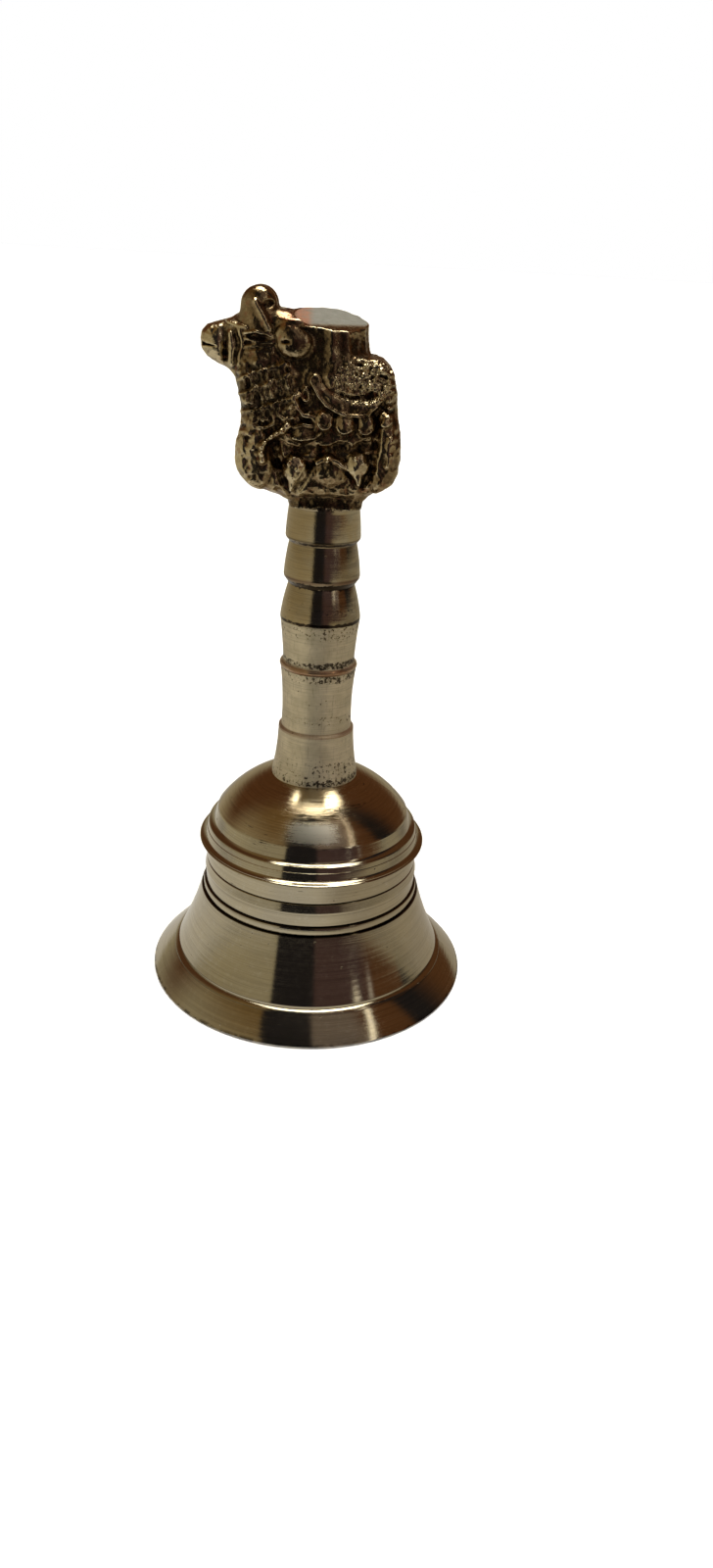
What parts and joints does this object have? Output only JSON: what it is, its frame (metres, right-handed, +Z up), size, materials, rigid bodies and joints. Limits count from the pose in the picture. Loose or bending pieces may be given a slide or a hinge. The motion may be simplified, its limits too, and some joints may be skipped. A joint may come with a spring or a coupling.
{
  "type": "puja hand bell",
  "caption": "Turned brass prayer hand bell with a ringed grip, a seated bull as its finial and a clapper that swings from a wire link inside the cup.",
  "frame": {"origin": "on the bell's axis, in the plane of the lip that the bell stands on", "axes": "+Z up along the bell's axis, -X the way the bull faces, +Y towards the flank on the bull's right"},
  "size_m": [0.07, 0.07, 0.1425],
  "materials": {
    "turned_brass": "lathe-turned and buffed, with light tarnish",
    "cast_brass": "as cast with dark antique recesses, and turned on the grip",
    "clapper_brass": "dull, lightly tarnished",
    "steel_hardware": "plain, slightly worn",
    "steel_wire": "drawn wire"
  },
  "bodies": {
    "bell": {"bell_cup": "turned_brass", "nandi_handle": "cast_brass", "crown_washer": "steel_hardware", "crown_nut": "steel_hardware"},
    "link": {"hanger_link": "steel_wire"},
    "clapper": {"clapper_rod": "clapper_brass", "clapper_bob": "clapper_brass"}
  },
  "joints": [
    {"name": "link_swing", "type": "hinge", "parent": "bell", "child": "link", "pos_m": [0, 0, 0.03563], "axis": [0, 1, 0], "range_deg": [-35, 35]},
    {"name": "clapper_rock", "type": "hinge", "parent": "link", "child": "clapper", "pos_m": [0, 0, 0.02963], "axis": [1, 0, 0], "range_deg": [-12, 12]}
  ]
}
